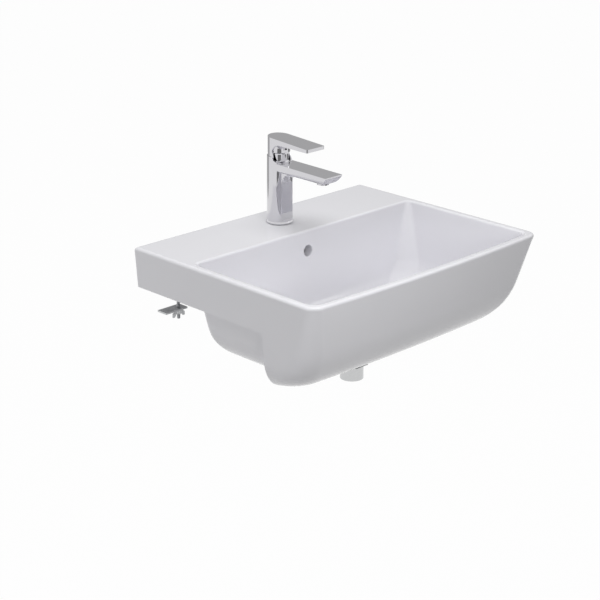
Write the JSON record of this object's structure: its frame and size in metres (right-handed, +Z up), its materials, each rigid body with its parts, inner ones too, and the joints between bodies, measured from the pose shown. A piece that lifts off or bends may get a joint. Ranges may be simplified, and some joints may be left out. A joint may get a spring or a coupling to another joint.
{
  "type": "semi recessed basin",
  "caption": "Rectangular semi recessed ceramic wash basin with a deep front skirt, overflow, flat spouted single lever tap, push plug waste and worktop clamps.",
  "frame": {"origin": "middle of the basin's back edge, level with the worktop: the aprons rest at Z 0 and the back touches the wall at Y 0", "axes": "+X to the right as seen from in front, +Y back to the wall, +Z up"},
  "size_m": [0.559, 0.4386, 0.4039],
  "materials": {
    "china": "white gloss glaze",
    "chrome": "polished chrome plate",
    "plated_brass": "chrome plate, plain below the flange",
    "brass": "machined brass",
    "stainless": "drawn stainless steel",
    "zinc_steel": "bright zinc plated steel",
    "white_plastic": "natural moulded plastic",
    "grey_plastic": "moulded grey plastic",
    "disc_ceramic": "lapped technical ceramic",
    "rubber": "moulded black rubber"
  },
  "bodies": {
    "basin": {"basin_body": "china", "tap_body": "chrome", "tap_base_gasket": "rubber", "cartridge_cover": "chrome", "cartridge_nut": "brass", "cartridge_housing": "white_plastic", "cartridge_fixed_disc": "disc_ceramic", "cartridge_seals": "rubber", "aerator_housing": "chrome", "aerator_insert": "white_plastic", "aerator_gasket": "rubber", "tap_stud": "brass", "tap_rubber_washer": "rubber", "tap_horseshoe_plate": "zinc_steel", "tap_fixing_nut": "brass", "waste_body": "plated_brass", "waste_flange_gasket": "rubber", "waste_under_gasket": "rubber", "waste_washer": "grey_plastic", "waste_backnut": "grey_plastic", "plug_latch_housing": "brass", "plug_spring": "stainless", "fixing_anchors": "grey_plastic", "fixing_bolts": "zinc_steel", "clamp_plates": "zinc_steel", "clamp_washers": "zinc_steel", "clamp_wing_nuts": "zinc_steel"},
    "turret": {"cartridge_rotor": "white_plastic", "cartridge_pivot_pin": "stainless"},
    "lever": {"tap_lever": "chrome", "lever_set_screw": "stainless", "lever_index_cap": "chrome", "cartridge_spindle": "stainless"},
    "disc": {"cartridge_disc_carrier": "grey_plastic", "cartridge_moving_disc": "disc_ceramic"},
    "plug": {"plug_cap": "chrome", "plug_seal": "rubber", "plug_plunger": "brass"}
  },
  "joints": [
    {"name": "lever_swivel", "type": "hinge", "parent": "basin", "child": "turret", "pos_m": [0, -0.068, 0.196], "axis": [0, 0, 1], "range_deg": [-45, 45]},
    {"name": "lever_lift", "type": "hinge", "parent": "turret", "child": "lever", "pos_m": [0, -0.068, 0.196], "axis": [-1, 0, 0], "range_deg": [0, 20]},
    {"name": "disc_slide", "type": "slide", "parent": "turret", "child": "disc", "axis": [0, -1, 0], "range_m": [0, 0.0046]},
    {"name": "plug_slide", "type": "slide", "parent": "basin", "child": "plug", "axis": [0, 0, 1], "range_m": [-0.0085, 0], "stiffness_N_per_m": 250, "springref_m": 0.012, "deforming": ["plug_spring"]}
  ],
  "couplings": [
    {"joint": "disc_slide", "follows": "lever_lift", "m_per_rad": 0.013}
  ]
}
